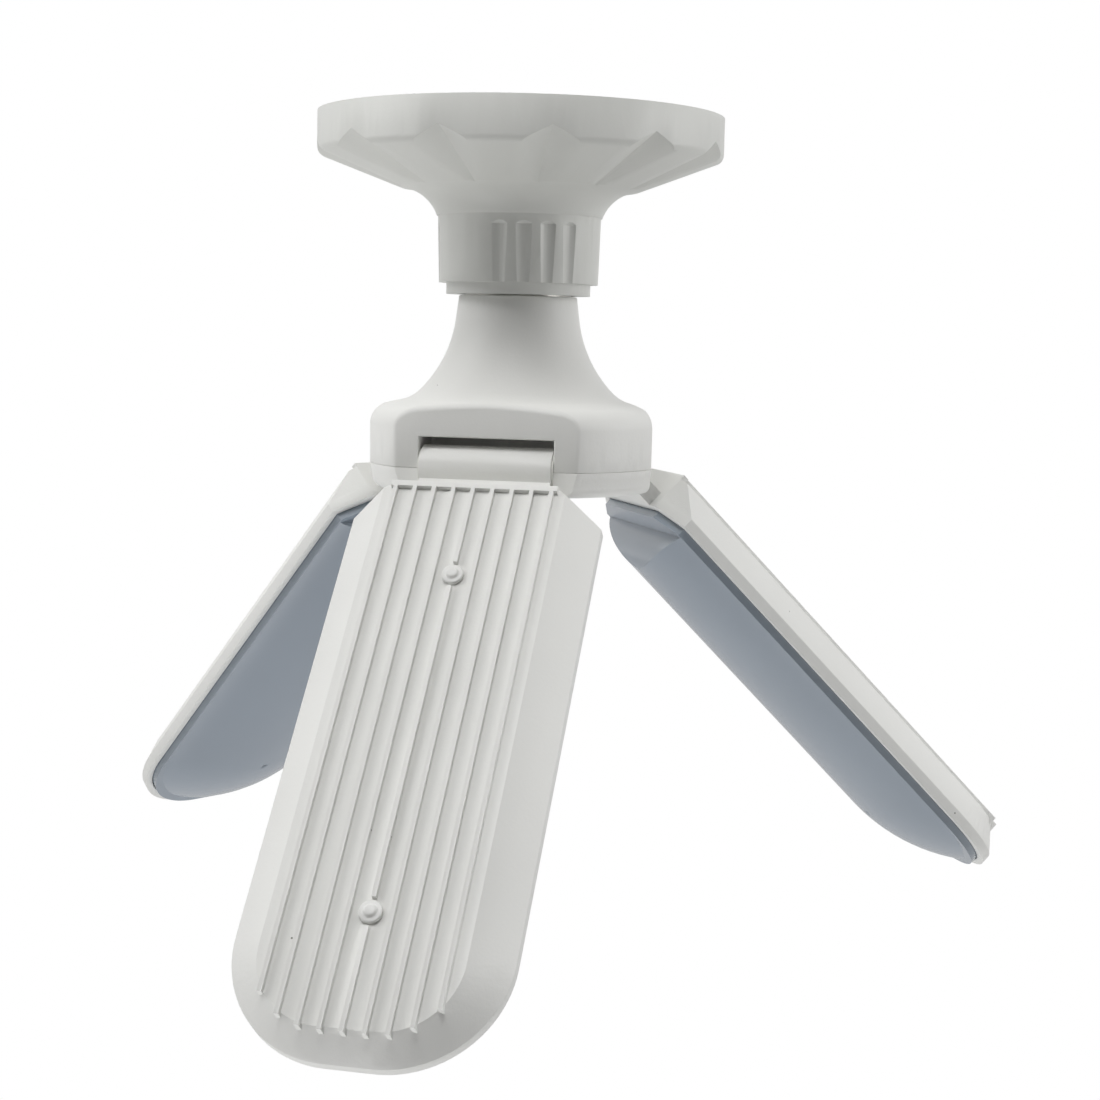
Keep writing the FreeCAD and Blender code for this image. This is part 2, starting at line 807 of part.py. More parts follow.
def bush_seats(tag):
    """Round seats in the window's side walls, halved by the seam."""
    tools = []
    for turn, azimuth in enumerate(LEAF_AZIMUTHS):
        for side in (1, -1):
            seat = doc.addObject("Part::Cylinder", "%s_seat_%d_%d" % (tag, turn, side + 1))
            tie(seat, {"Radius": s.bush_radius, "Height": s.bush_seat + s.overrun})
            on_hinge(seat, azimuth, side, s.window_half_width - s.overrun)
            tools.append(seat)
    return tools


def on_hinge(item, azimuth, side, along):
    """Lay a cylinder on a hinge axis, starting at a distance along it on one side."""
    out = FreeCAD.Rotation(FreeCAD.Vector(0, 0, 1), azimuth)
    aim = FreeCAD.Rotation(FreeCAD.Vector(0, 0, 1), FreeCAD.Vector(0, side, 0))
    cosine = math.cos(math.radians(azimuth))
    sine = math.sin(math.radians(azimuth))
    stand(item, s.hinge_offset * cosine - side * along * sine,
          s.hinge_offset * sine + side * along * cosine, -s.seam_depth)
    item.Placement.Rotation = out * aim


def screw_spots():
    """Names and places of the three hub screws, one in each arm between the windows."""
    for turn in range(COUNTS["leaves"]):
        azimuth = math.radians(HUB_SCREW_AZIMUTH + 360 * turn / COUNTS["leaves"])
        yield turn, s.hub_screw_offset * math.cos(azimuth), s.hub_screw_offset * math.sin(azimuth)


def screw_holes(tag):
    tools = []
    bottom = -(s.seam_depth if tag == "housing" else s.hub_depth + s.overrun)
    top = -(s.seam_depth - s.hub_screw_bite) if tag == "housing" else -s.seam_depth
    for turn, x, y in screw_spots():
        hole = cylinder("%s_screw_hole_%d" % (tag, turn), s.hub_screw_radius + s.screw_fit, top - bottom, x, y, bottom)
        tools.append(hole)
        if tag == "cover":
            tools.append(cylinder("cover_head_hole_%d" % turn, s.hub_screw_head_radius + s.screw_fit,
                                  s.hub_screw_head + s.overrun, x, y, bottom))
    return tools


# Hub cover: the lower moulding that closes the hub and clamps the hinge bushes.
def make_hub_cover():
    body = new_body("hub_cover_body")
    revolve(body, "cover_plate", [
        (0, -(s.hub_depth - s.cover_floor)),
        (s.board_rest_radius - s.board_rest_wall, -(s.hub_depth - s.cover_floor)),
        (s.board_rest_radius - s.board_rest_wall, -s.seam_depth),
        (s.board_rest_radius, -s.seam_depth),
        (s.board_rest_radius, -(s.hub_depth - s.cover_floor)),
        (s.hub_bore, -(s.hub_depth - s.cover_floor)),
        (s.hub_bore, -s.seam_depth),
        (s.hub_seam_radius, -s.seam_depth),
        (s.hub_end_radius, -(s.hub_depth - s.hub_end_round), -s.hub_end_round),
        (s.hub_end_radius - s.hub_end_round, -s.hub_depth),
        (0, -s.hub_depth),
    ])
    facet = new_sketch(body, "cover_facet_outline", "XY_Plane", -(s.hub_depth + s.overrun))
    facet_corners(facet)
    depth = s.hub_depth - s.seam_depth + s.overrun * 2
    faced = pocket(body, "cover_facet_cut", facet, depth, upward=True)
    around(body, "cover_facet_cuts", faced, COUNTS["leaves"])
    window = new_sketch(body, "cover_window_outline", "XY_Plane", -(s.hub_depth + s.overrun))
    window_corners(window)
    opened = pocket(body, "cover_window_cut", window, depth, upward=True)
    around(body, "cover_window_cuts", opened, COUNTS["leaves"])
    tools = bush_seats("cover") + screw_holes("cover")
    keep(cut("hub_cover_cut", body, fuse("hub_cover_tools", tools)), "hub_cover")


# Hub screws: three countersunk screws that draw the cover up to the housing.
def make_hub_screws():
    screws = []
    for turn, x, y in screw_spots():
        low = -s.hub_depth
        head = cylinder("hub_head_%d" % turn, s.hub_screw_head_radius, s.hub_screw_head, x, y, low)
        slot = block("hub_slot_%d" % turn, s.hub_screw_head_radius * 2, s.hub_screw_slot, s.hub_screw_slot,
                     x - s.hub_screw_head_radius, y - s.hub_screw_slot / 2, low - s.hub_screw_slot / 2)
        top = -(s.seam_depth - s.hub_screw_bite)
        shank = cylinder("hub_shank_%d" % turn, s.hub_screw_radius, top - low - s.hub_screw_head,
                         x, y, low + s.hub_screw_head)
        screws.append(fuse("hub_screw_%d" % turn, [cut("hub_head_cut_%d" % turn, head, slot), shank]))
    keep(group("hub_screws_group", screws), "hub_screws")


# Driver: a round circuit board on the cover's ring, with its tall parts in the neck.
def make_driver():
    board_low = -s.seam_depth
    board = cylinder("driver_disc", s.hub_bore - s.driver_edge_gap, s.driver_thickness, 0, 0, board_low)
    keep(board, "driver_board")
    top = board_low + s.driver_thickness
    capacitor = cylinder("capacitor", s.capacitor_radius, s.capacitor_height, s.capacitor_offset, 0, top)
    coil = cylinder("coil", s.coil_radius, s.coil_height, -s.capacitor_offset, s.coil_radius, top)
    chip = block("chip", s.chip_length, s.chip_width, s.chip_height,
                 -(s.capacitor_offset + s.chip_length / 2), -(s.coil_radius + s.chip_width), top)
    keep(group("driver_parts_group", [capacitor, coil, chip]), "driver_parts")


# Hinge bushes: hollow stubs held in the hub's side walls. Each barrel turns on two of
# them, and the leaf's leads pass through their bores.
def make_hinge_bushes():
    bushes = []
    washers = []
    journal = s.barrel_bore - s.journal_fit
    for turn, azimuth in enumerate(LEAF_AZIMUTHS):
        for side in (1, -1):
            tag = "%d_%d" % (turn, side + 1)
            seat = doc.addObject("Part::Cylinder", "bush_seat_" + tag)
            tie(seat, {"Radius": s.bush_radius - s.shell_clearance, "Height": s.bush_seat})
            on_hinge(seat, azimuth, side, s.window_half_width)
            stub = doc.addObject("Part::Cylinder", "bush_stub_" + tag)
            tie(stub, {"Radius": journal, "Height": s.journal_length + s.bush_seat})
            on_hinge(stub, azimuth, side, s.window_half_width - s.journal_length)
            hole = doc.addObject("Part::Cylinder", "bush_bore_" + tag)
            tie(hole, {"Radius": s.bush_hole, "Height": s.journal_length + s.bush_seat + s.overrun * 2})
            on_hinge(hole, azimuth, side, s.window_half_width - s.journal_length - s.overrun)
            bushes.append(cut("bush_" + tag, fuse("bush_solid_" + tag, [seat, stub]), hole))
            washers.append(make_washer(tag, azimuth, side))
    keep(group("hinge_bushes_group", bushes), "hinge_bushes")
    keep(group("friction_washers_group", washers), "friction_washers")


def make_washer(tag, azimuth, side):
    """Thin ring between a barrel's end and the window's side wall."""
    disc = doc.addObject("Part::Cylinder", "washer_disc_" + tag)
    thickness = s.window_half_width - s.barrel_half_length - s.washer_gap
    tie(disc, {"Radius": s.washer_radius, "Height": thickness})
    on_hinge(disc, azimuth, side, s.barrel_half_length + s.washer_gap)
    bore = doc.addObject("Part::Cylinder", "washer_bore_" + tag)
    tie(bore, {"Radius": s.barrel_bore, "Height": thickness + s.overrun * 2})
    on_hinge(bore, azimuth, side, s.barrel_half_length - s.overrun)
    return cut("washer_" + tag, disc, bore)


def leaf_corners(half_width, lip_half, start, corner_start, end, radius):
    """Outline of a leaf: narrow at the hinge, straight sides and a rounded end."""
    flat = half_width - radius
    turn = end - radius
    return [
        (start, -lip_half),
        (corner_start, -half_width),
        (turn, -half_width, radius),
        (end, -flat),
        (end, flat, radius),
        (turn, half_width),
        (corner_start, half_width),
        (start, lip_half),
    ]


def side_outline(inset):
    """The leaf's outer outline at its side wall, drawn in by an inset."""
    return leaf_corners(s.leaf_half_width - inset, s.leaf_lip_half_width - inset / 2, s.leaf_start + inset,
                        s.leaf_corner_start + inset / 2, s.leaf_end - inset, s.leaf_corner_radius - inset)


def place_leaf(item, turn):
    """Set a leaf's piece on its hinge, at the angle that the leaf hangs at."""
    azimuth = LEAF_AZIMUTHS[turn]
    cosine = math.cos(math.radians(azimuth))
    sine = math.sin(math.radians(azimuth))
    stand(item, s.hinge_offset * cosine, s.hinge_offset * sine, -s.seam_depth)
    drop = FreeCAD.Rotation(FreeCAD.Vector(0, 1, 0), 90 - LEAF_TILTS[turn])
    item.Placement.Rotation = FreeCAD.Rotation(FreeCAD.Vector(0, 0, 1), azimuth) * drop


# Leaf housing: a pressed and painted shell with a ribbed back, bevelled sides, a thin
# lip round the diffuser, and a barrel on a short strap that turns in the hub.
def make_leaf_housing(turn):
    tag = "leaf_%d" % (turn + 1)
    body = new_body(tag + "_shell")
    skirt = new_sketch(body, tag + "_skirt_outline", "XY_Plane", -s.side_bottom)
    outline(skirt, side_outline(Size(0, "0")))
    pad(body, tag + "_skirt", skirt, s.side_bottom + s.side_rise)
    low = new_sketch(body, tag + "_bevel_low", "XY_Plane", s.side_rise)
    outline(low, side_outline(Size(0, "0")))
    high = new_sketch(body, tag + "_bevel_high", "XY_Plane", s.plateau_height)
    outline(high, leaf_corners(s.plateau_half_width, s.leaf_lip_half_width, s.leaf_start,
                               s.leaf_start + s.leaf_lip, s.plateau_end, s.plateau_corner_radius))
    bevel = body.newObject("PartDesign::AdditiveLoft", tag + "_bevel")
    bevel.Profile = low
    bevel.Sections = [high]
    bevel.Ruled = True
    recess = new_sketch(body, tag + "_recess_outline", "XY_Plane", -s.side_bottom)
    outline(recess, side_outline(s.leaf_wall))
    pocket(body, tag + "_recess", recess, s.side_bottom + s.side_rise, upward=True)
    cavity = new_sketch(body, tag + "_cavity_outline", "XY_Plane", -s.side_bottom)
    outline(cavity, inner_outline(Size(0, "0")))
    body.Tip = pocket(body, tag + "_cavity", cavity, s.side_bottom + s.plateau_height - s.leaf_roof, upward=True)
    solids = [body] + leaf_ribs(tag) + leaf_hinge(tag)
    holes = rivet_holes(tag) + hinge_bore(tag)
    shell = cut(tag + "_housing_cut", fuse(tag + "_solids", solids), fuse(tag + "_holes", holes))
    place_leaf(shell, turn)
    keep(shell, tag + "_housing")


def inner_outline(inset):
    """The deeper hollow under the plateau, where the light board lies."""
    start = s.leaf_start + s.leaf_wall + inset
    lip_half = s.leaf_lip_half_width - s.leaf_wall - inset
    return leaf_corners(s.inner_half_width - inset, lip_half, start, start + s.leaf_lip,
                        s.inner_end - inset, s.inner_corner_radius - inset)


def plateau_reach(across):
    """How far the plateau's rounded end goes at a distance from the leaf's middle line."""
    flat = s.plateau_half_width - s.plateau_corner_radius
    if abs(across.value) <= flat.value:
        return s.plateau_end
    side = across if across.value > 0 else -across
    away = side - flat
    radius = s.plateau_corner_radius
    return s.plateau_end - radius + root(radius * radius - away * away)


def leaf_ribs(tag):
    """Nine fine ribs along the back, and the lip that joins them at the hinge."""
    ribs = []
    low = s.plateau_height - s.rib_root
    height = s.rib_top - low
    start = s.leaf_start + s.leaf_lip / 2
    middle = (COUNTS["ribs"] - 1) // 2
    for index in range(COUNTS["ribs"]):
        across = s.rib_pitch * (index - middle)
        end = plateau_reach(across) + s.rib_overhang
        spans = [(start, end)]
        if index == middle:
            spans = [
                (start, s.rivet_first - s.rivet_clear),
                (s.rivet_first + s.rivet_clear, s.rivet_second - s.rivet_clear),
                (s.rivet_second + s.rivet_clear, end),
            ]
        for part, (first, last) in enumerate(spans):
            ribs.append(block("%s_rib_%d_%d" % (tag, index, part), last - first, s.rib_width, height,
                              first, across - s.rib_width / 2, low))
    ribs.append(block(tag + "_lip", s.leaf_lip, s.leaf_lip_half_width * 2, height,
                      s.leaf_start, -s.leaf_lip_half_width, low))
    return ribs


def leaf_hinge(tag):
    """Barrel on the hinge axis and the strap that joins it to the leaf."""
    barrel = doc.addObject("Part::Cylinder", tag + "_barrel")
    tie(barrel, {"Radius": s.barrel_radius, "Height": s.barrel_half_length * 2})
    stand(barrel, 0, -s.barrel_half_length, 0)
    barrel.Placement.Rotation = FreeCAD.Rotation(FreeCAD.Vector(0, 0, 1), FreeCAD.Vector(0, 1, 0))
    strap = block(tag + "_strap", s.leaf_start + s.leaf_lip / 2, s.barrel_half_length * 2, s.strap_top + s.strap_bottom,
                  0, -s.barrel_half_length, -s.strap_bottom)
    return [barrel, strap]


def hinge_bore(tag):
    bore = doc.addObject("Part::Cylinder", tag + "_bore")
    tie(bore, {"Radius": s.barrel_bore, "Height": (s.barrel_half_length + s.overrun) * 2})
    stand(bore, 0, -(s.barrel_half_length + s.overrun), 0)
    bore.Placement.Rotation = FreeCAD.Rotation(FreeCAD.Vector(0, 0, 1), FreeCAD.Vector(0, 1, 0))
    return [bore]


def rivet_holes(tag):
    holes = []
    for index, along in enumerate((s.rivet_first, s.rivet_second)):
        holes.append(cylinder("%s_rivet_hole_%d" % (tag, index), s.rivet_shank + s.rivet_fit,
                              s.leaf_roof + s.overrun * 2, along, 0, s.plateau_height - s.leaf_roof - s.overrun))
    return holes


# Leaf rivets: two domed pins that hold the light board up against the housing.
def make_leaf_rivets(turn):
    tag = "leaf_%d" % (turn + 1)
    pins = []
    for index, along in enumerate((s.rivet_first, s.rivet_second)):
        name = "%s_rivet_%d" % (tag, index)
        seat = s.plateau_height
        tail = s.plateau_height - s.leaf_roof - s.led_board_thickness - s.led_height
        head = cylinder(name + "_head", s.rivet_radius, s.rivet_head, along, 0, seat)
        dome = doc.addObject("Part::Cone", name + "_dome")
        tie(dome, {"Radius1": s.rivet_dome_radius, "Radius2": s.rivet_dome_radius - s.rivet_dome / 2,
                   "Height": s.rivet_dome})
        stand(dome, along, 0, seat + s.rivet_head)
        shank = cylinder(name + "_shank", s.rivet_shank, seat - tail, along, 0, tail)
        foot = cylinder(name + "_foot", s.rivet_radius, s.led_height, along, 0, tail)
        pins.append(fuse(name, [head, dome, shank, foot]))
    rivets = group(tag + "_rivets_group", pins)
    place_leaf(rivets, turn)
    keep(rivets, tag + "_rivets")


def meets_rivet(along):
    """Whether a light in the middle row would stand on a rivet's foot."""
    reach = s.led_length / 2 + s.rivet_radius + s.led_board_gap
    return any(abs(along.value - spot.value) < reach.value for spot in (s.rivet_first, s.rivet_second))


# Light board: a thin metal-cored board against the housing, with rows of small lights.
def make_led_board(turn):
    tag = "leaf_%d" % (turn + 1)
    body = new_body(tag + "_board_body")
    low = s.plateau_height - s.leaf_roof - s.led_board_thickness
    sketch = new_sketch(body, tag + "_board_outline", "XY_Plane", low)
    outline(sketch, inner_outline(s.led_board_gap))
    for along in (s.rivet_first, s.rivet_second):
        ring(sketch, along, 0, s.rivet_shank + s.rivet_fit)
    pad(body, tag + "_board", sketch, s.led_board_thickness)
    place_leaf(body, turn)
    keep(body, tag + "_led_board")
    lights = []
    for row in range(COUNTS["leds_across"]):
        for index in range(COUNTS["leds_along"]):
            across = s.led_row_pitch * (row - (COUNTS["leds_across"] - 1) / 2)
            along = s.led_start + s.led_pitch * index
            if row == 1:
                along = along + s.led_pitch / 2
                if meets_rivet(along):
                    continue
            lights.append(block("%s_light_%d_%d" % (tag, row, index), s.led_length, s.led_width, s.led_height,
                                along - s.led_length / 2, across - s.led_width / 2, low - s.led_height))
    chips = group(tag + "_leds_group", lights)
    place_leaf(chips, turn)
    keep(chips, tag + "_leds")


# Diffuser: an opal cover let into the housing's lip. Below its flat edge it bulges as
# a shallow arch along the leaf, closed by half a turned dome at the outer end.
def make_diffuser(turn):
    tag = "leaf_%d" % (turn + 1)
    inset = s.leaf_wall + s.diffuser_gap
    half = s.leaf_half_width - inset - s.diffuser_ledge
    rise = s.diffuser_crown_depth - s.diffuser_edge_depth
    bend = (half * half + rise * rise) / (rise * 2)
    turned_at = s.leaf_end - inset - s.diffuser_ledge - half
    start = s.leaf_corner_start + inset
    outside = dome_parts(tag + "_outer", half, bend, s.diffuser_crown_depth, start, turned_at)
    nose_cut(outside[0], tag, start)
    inner_bend = bend - s.diffuser_wall
    drop = bend - rise
    inner_half = root(inner_bend * inner_bend - drop * drop)
    inside = dome_parts(tag + "_inner", inner_half, inner_bend, s.diffuser_crown_depth - s.diffuser_wall,
                        start + s.diffuser_inner_start, turned_at)
    edge = edge_plate(tag + "_edge", inset)
    inner_start = start + s.diffuser_inner_start
    tall = s.side_rise + s.diffuser_edge_depth
    inside.append(block(tag + "_inner_mouth", turned_at - inner_start, inner_half * 2, tall,
                        inner_start, -inner_half, -s.diffuser_edge_depth))
    inside.append(cylinder(tag + "_inner_mouth_end", inner_half, tall, turned_at, 0, -s.diffuser_edge_depth))
    diffuser = cut(tag + "_diffuser_cut", fuse(tag + "_diffuser_solid", [edge] + outside),
                   fuse(tag + "_diffuser_hollow", inside))
    place_leaf(diffuser, turn)
    keep(diffuser, tag + "_diffuser")


def edge_plate(name, inset):
    """Plate in the leaf's outline, from the top of the recess to the bulge."""
    body = new_body(name + "_body")
    sketch = new_sketch(body, name + "_outline", "XY_Plane", s.side_rise)
    outline(sketch, side_outline(inset))
    pad(body, name + "_plate", sketch, s.side_rise + s.diffuser_edge_depth, down=True)
    return body


def dome_parts(name, half, bend, crown, start, turned_at):
    """The arch along the leaf and the half dome that closes its outer end."""
    arch = new_body(name + "_arch")
    section = new_sketch(arch, name + "_section", "YZ_Plane", start)
    outline(section, [
        (-half, -s.diffuser_edge_depth, bend),
        (half, -s.diffuser_edge_depth),
    ])
    pad(arch, name + "_run", section, turned_at - start)
    end = new_body(name + "_end")
    dome = revolve(end, name + "_dome", [
        (0, -s.diffuser_edge_depth),
        (0, -crown, bend),
        (half, -s.diffuser_edge_depth),
    ])
    dome.Angle = 180
    stand(end, turned_at, 0, 0)
    end.Placement.Rotation = FreeCAD.Rotation(FreeCAD.Vector(0, 0, 1), -90)
    return [arch, end]


def nose_cut(body, tag, start):
    """Round the arch down to the edge at its hinge end."""
    sketch = new_sketch(body, tag + "_nose_outline", "XZ_Plane")
    low = s.diffuser_crown_depth + s.diffuser_nose_over
    outline(sketch, [
        (start, -s.diffuser_edge_depth, s.diffuser_nose),
        (start + s.diffuser_nose, -low),
        (start + s.diffuser_nose, -(low + s.overrun)),
        (start - s.overrun, -(low + s.overrun)),
        (start - s.overrun, -s.diffuser_edge_depth),
    ])
    nose = pocket(body, tag + "_nose", sketch, s.leaf_half_width * 2)
    nose.Midplane = True
    body.Tip = nose


make_ceiling_base()
make_holder_cover()
make_socket_sleeve()
make_core_posts()
make_thread_shell()
make_centre_contact()
make_terminals()
make_cap()
make_neck_housing()
make_hub_cover()
make_hub_screws()
make_driver()
make_hinge_bushes()
for leaf in range(COUNTS["leaves"]):
    make_leaf_housing(leaf)
    make_leaf_rivets(leaf)
    make_led_board(leaf)
    make_diffuser(leaf)
doc.recompute()

faults = []
for item in doc.Objects:
    if "Invalid" in item.State or "Error" in item.State:
        faults.append("%s: %s" % (item.Name, item.State))
for label, item in nodes.items():
    if item.Shape.isNull() or not item.Shape.isValid() or not item.Shape.Solids:
        faults.append("%s: bad shape" % label)
if faults:
    raise RuntimeError("; ".join(faults))

os.makedirs("parts", exist_ok=True)
for label, item in nodes.items():
    item.Shape.exportStep("parts/%s.step" % label)
    box = item.Shape.BoundBox
    print("%-18s solids %2d volume %9.1f z %7.2f %7.2f" % (
        label, len(item.Shape.Solids), item.Shape.Volume, box.ZMin, box.ZMax))
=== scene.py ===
import bpy
import bmesh
import math
from mathutils import Matrix, Vector


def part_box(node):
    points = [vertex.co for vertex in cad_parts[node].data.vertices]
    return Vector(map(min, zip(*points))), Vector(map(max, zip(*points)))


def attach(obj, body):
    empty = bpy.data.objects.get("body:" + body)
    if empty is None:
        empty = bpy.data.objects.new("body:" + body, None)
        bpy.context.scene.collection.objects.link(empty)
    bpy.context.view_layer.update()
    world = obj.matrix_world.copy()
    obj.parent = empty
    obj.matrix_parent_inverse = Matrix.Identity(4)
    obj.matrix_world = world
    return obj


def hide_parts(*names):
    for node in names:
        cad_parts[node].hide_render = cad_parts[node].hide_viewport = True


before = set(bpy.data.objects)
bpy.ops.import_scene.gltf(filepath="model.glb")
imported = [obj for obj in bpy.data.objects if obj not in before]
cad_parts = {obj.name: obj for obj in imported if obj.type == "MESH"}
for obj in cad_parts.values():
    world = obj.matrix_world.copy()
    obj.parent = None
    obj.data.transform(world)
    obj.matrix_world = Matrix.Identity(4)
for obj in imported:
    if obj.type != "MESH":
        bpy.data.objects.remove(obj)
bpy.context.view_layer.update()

# Camera: level with the lamp's neck, to the right of the front leaf and looking slightly
# down, as in the product photograph. Its place and lens come from a fit to the photo.
CAMERA_PLACE = (0.12517, -0.48602, -0.05239)
CAMERA_YAW = math.radians(-13.385)
CAMERA_PITCH = math.radians(-6.239)
CAMERA_ROLL = math.radians(1.214)
CAMERA_LENS = 65.4745

camera_data = bpy.data.cameras.new("photo_camera")
camera_data.lens = CAMERA_LENS
camera_data.sensor_width = 36.0
camera_data.clip_start = 0.01
camera = bpy.data.objects.new("photo_camera", camera_data)
bpy.context.scene.collection.objects.link(camera)
ahead = Vector((
    math.sin(CAMERA_YAW) * math.cos(CAMERA_PITCH),
    math.cos(CAMERA_YAW) * math.cos(CAMERA_PITCH),
    math.sin(CAMERA_PITCH),
))
level = Vector((math.cos(CAMERA_YAW), -math.sin(CAMERA_YAW), 0.0))
upright = level.cross(ahead)
right = level * math.cos(CAMERA_ROLL) + upright * math.sin(CAMERA_ROLL)
up = upright * math.cos(CAMERA_ROLL) - level * math.sin(CAMERA_ROLL)
turn = Matrix((right, up, -ahead)).transposed().to_4x4()
camera.matrix_world = Matrix.Translation(CAMERA_PLACE) @ turn
bpy.context.scene.camera = camera
bpy.context.scene.view_settings.view_transform = "Standard"


# Studio: a white tent that is dark towards the photographer, so surfaces that face the
# front are shaded while those that face up, down or sideways are bright. Four soft
# boxes add light; the background is shown white to the camera alone.
TENT_LIGHT = 0.98
TENT_OPENING_LIGHT = 0.0
OPENING_DIRECTION = (0.24, -0.96, 0.10)
OPENING_EDGE = (0.12, 0.64)

world = bpy.data.worlds.new("white_tent")
bpy.context.scene.world = world
world.use_nodes = True
sky = world.node_tree
sky.nodes.clear()
sky_out = sky.nodes.new("ShaderNodeOutputWorld")
direction = sky.nodes.new("ShaderNodeTexCoord")
facing = sky.nodes.new("ShaderNodeVectorMath")
facing.operation = "DOT_PRODUCT"
facing.inputs[1].default_value = Vector(OPENING_DIRECTION).normalized()
edge = sky.nodes.new("ShaderNodeMapRange")
edge.interpolation_type = "SMOOTHSTEP"
edge.inputs["From Min"].default_value = OPENING_EDGE[0]
edge.inputs["From Max"].default_value = OPENING_EDGE[1]
edge.inputs["To Min"].default_value = TENT_LIGHT
edge.inputs["To Max"].default_value = TENT_OPENING_LIGHT
tent = sky.nodes.new("ShaderNodeBackground")
seen = sky.nodes.new("ShaderNodeBackground")
seen.inputs["Strength"].default_value = 1.0
seen.inputs["Color"].default_value = (1.0, 1.0, 1.0, 1.0)
ray = sky.nodes.new("ShaderNodeLightPath")
pick = sky.nodes.new("ShaderNodeMixShader")
sky.links.new(direction.outputs["Generated"], facing.inputs[0])
sky.links.new(facing.outputs["Value"], edge.inputs["Value"])
sky.links.new(edge.outputs["Result"], tent.inputs["Strength"])
sky.links.new(ray.outputs["Is Camera Ray"], pick.inputs["Fac"])
sky.links.new(tent.outputs["Background"], pick.inputs[1])
sky.links.new(seen.outputs["Background"], pick.inputs[2])
sky.links.new(pick.outputs["Shader"], sky_out.inputs["Surface"])


def soft_lamp(name, place, aim, width, power):
    """A square soft box at a place, aimed at a point."""
    data = bpy.data.lights.new(name, "AREA")
    data.shape = "SQUARE"
    data.size = width
    data.energy = power
    lamp = bpy.data.objects.new(name, data)
    bpy.context.scene.collection.objects.link(lamp)
    lamp.location = place
    lamp.rotation_euler = (Vector(aim) - Vector(place)).to_track_quat("-Z", "Y").to_euler()
    return lamp


SOFT_LAMPS = (
    ("lamp_above", (0.0, -0.42, 0.58), (0.0, 0.0, -0.12), 0.3, 2.7),
    ("lamp_left", (-0.68, -0.28, 0.42), (0.0, 0.0, -0.08), 0.4, 1.9),
    ("lamp_right", (0.80, 0.10, 0.05), (0.0, 0.0, -0.10), 0.5, 1.8),
    ("lamp_below", (-0.20, -0.30, -0.85), (0.0, 0.0, -0.05), 0.4, 2.2),
)
for name, place, aim, width, power in SOFT_LAMPS:
    soft_lamp(name, place, aim, width, power)


# Floor: a plain pale board far below, where a room's floor would be. It lights the part
# from below and is shown white to the camera.
FLOOR_REACH = 6.0
FLOOR_HEIGHT = -1.6

floor_corners = [(x * FLOOR_REACH, y * FLOOR_REACH, FLOOR_HEIGHT) for x, y in ((-1, -1), (1, -1), (1, 1), (-1, 1))]
floor_mesh = bpy.data.meshes.new("pale_floor")
floor_mesh.from_pydata(floor_corners, [], [(0, 1, 2, 3)])
floor = bpy.data.objects.new("pale_floor", floor_mesh)
bpy.context.scene.collection.objects.link(floor)
floor_finish = bpy.data.materials.new("pale_board")
floor_finish.use_nodes = True
board = floor_finish.node_tree
board_shader = board.nodes["Principled BSDF"]
board_shader.inputs["Base Color"].default_value = (0.92, 0.92, 0.92, 1.0)
board_shader.inputs["Roughness"].default_value = 0.9
board_ray = board.nodes.new("ShaderNodeLightPath")
board_white = board.nodes.new("ShaderNodeEmission")
board_pick = board.nodes.new("ShaderNodeMixShader")
board.links.new(board_ray.outputs["Is Camera Ray"], board_pick.inputs["Fac"])
board.links.new(board_shader.outputs["BSDF"], board_pick.inputs[1])
board.links.new(board_white.outputs["Emission"], board_pick.inputs[2])
board.links.new(board_pick.outputs["Shader"], board.nodes["Material Output"].inputs["Surface"])
floor_mesh.materials.append(floor_finish)


# Ceiling base: the flat moulded disc that lies on the ceiling, hidden by the cover. It
# is matt insulating plastic, plain moulded, with screw and cable holes.
BASE_COLOUR = (0.60, 0.60, 0.57)
GRAIN_PITCH = 1400.0


